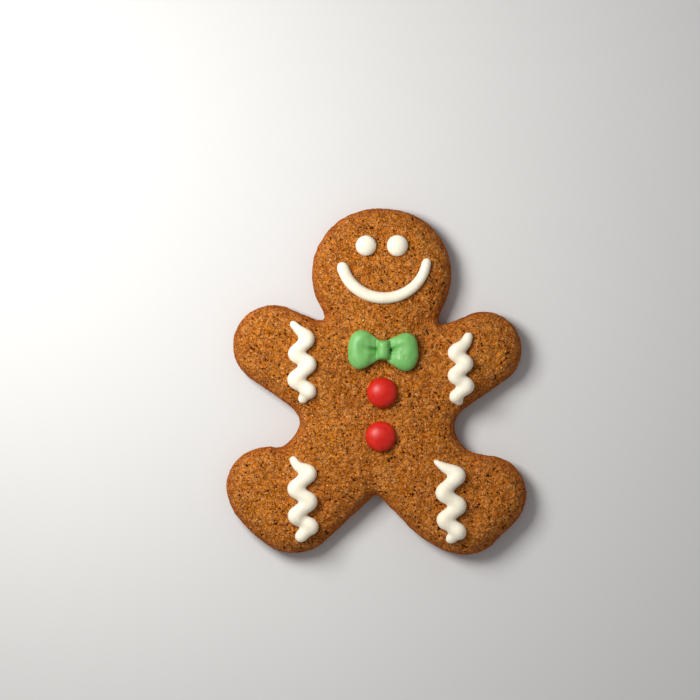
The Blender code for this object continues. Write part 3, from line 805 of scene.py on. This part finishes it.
def sugar_green_material():
    """Moulded sugar paste: leaf green with a few darker specks."""
    g = Graph("green sugar paste")
    colour = g.mixed(g.ranged(g.noise(2.6, 3), 0.3, 0.7), (0.14, 0.39, 0.09), (0.2, 0.47, 0.135))
    specks = g.dots(0.6, (0.08, 0.16), 0.6)
    colour = g.mixed(g.maths("MULTIPLY", specks, 0.35), colour, (0.08, 0.2, 0.05))
    grain = g.bump(g.noise(0.4, 2), 0.02)
    return g.finish(
        colour, 0.42, grain, Specular_IOR_Level=0.4,
        Subsurface_Weight=0.15, Subsurface_Scale=0.8 * MM, Subsurface_Radius=(0.4, 1.0, 0.3)
    )


def candy_red_material():
    """A polished sugar shell: red and a little mottled."""
    g = Graph("red sugar shell")
    colour = g.mixed(g.ranged(g.noise(1.6, 3), 0.35, 0.7), (0.52, 0.009, 0.004), (0.62, 0.022, 0.009))
    grain = g.bump(g.noise(0.7, 2), 0.018)
    return g.finish(colour, 0.38, grain, Specular_IOR_Level=0.32)


def floor_material():
    g = Graph("pale floor")
    return g.finish(g.mixed(g.noise(60, 2), FLOOR_COLOUR, tuple(0.97 * c for c in FLOOR_COLOUR)), 0.8)


def add_piece(name, mesh, material):
    """Adds a piece that stands for the node of the same name, from a mesh in millimetres."""
    mesh.transform(Matrix.Scale(MM, 4))
    mesh.name = name
    mesh.materials.clear()
    mesh.materials.append(material)
    mesh.shade_smooth()
    piece = linked(f"{name}_look", mesh)
    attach(piece, "root")
    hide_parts(name)


def add_toppings():
    icing = icing_material()
    for name, stops in SQUIGGLES.items():
        add_piece(name, bead_mesh(squiggle_lines(stops)), icing)
    add_piece("smile", bead_mesh([smile_line()]), icing)
    for name, dome in EYES.items():
        add_piece(name, dome_mesh(dome, EYE_WOBBLE), icing)
    red = candy_red_material()
    for name, dome in BUTTONS.items():
        add_piece(name, dome_mesh(dome, BUTTON_WOBBLE), red)
    add_piece("bow", bow_mesh(), sugar_green_material())


def add_light(name, direction, distance, size, power):
    """A square soft light, aimed at the figure from a direction."""
    light = bpy.data.lights.new(name, "AREA")
    light.size = size * MM
    light.energy = power
    obj = linked(name, light)
    way = Vector(direction).normalized()
    obj.location = way * distance * MM
    obj.rotation_euler = way.to_track_quat("Z", "Y").to_euler()


def add_stage():
    bpy.ops.mesh.primitive_plane_add(size=FLOOR_SIZE * MM, location=(0, 0, -FLOOR_DROP * MM))
    floor = bpy.context.object
    floor.name = "floor"
    floor.data.materials.append(floor_material())
    world = bpy.data.worlds.new("soft studio")
    world.use_nodes = True
    sky = world.node_tree.nodes["Background"]
    sky.inputs["Color"].default_value = (*SKY_COLOUR, 1)
    sky.inputs["Strength"].default_value = SKY_STRENGTH
    bpy.context.scene.world = world
    add_light("key light", KEY_DIRECTION, KEY_DISTANCE, KEY_SIZE, KEY_POWER)
    bpy.context.scene.view_settings.view_transform = "Standard"


def add_camera():
    data = bpy.data.cameras.new("camera")
    data.lens = LENS
    data.sensor_width = SENSOR
    camera = linked("camera", data)
    camera.location = Vector((*VIEW_CENTRE, WIDEST_HEIGHT + VIEW_WIDTH * LENS / SENSOR)) * MM
    bpy.context.scene.camera = camera


add_camera()
add_stage()
add_piece("biscuit", biscuit_mesh(), crust_material())
add_toppings()
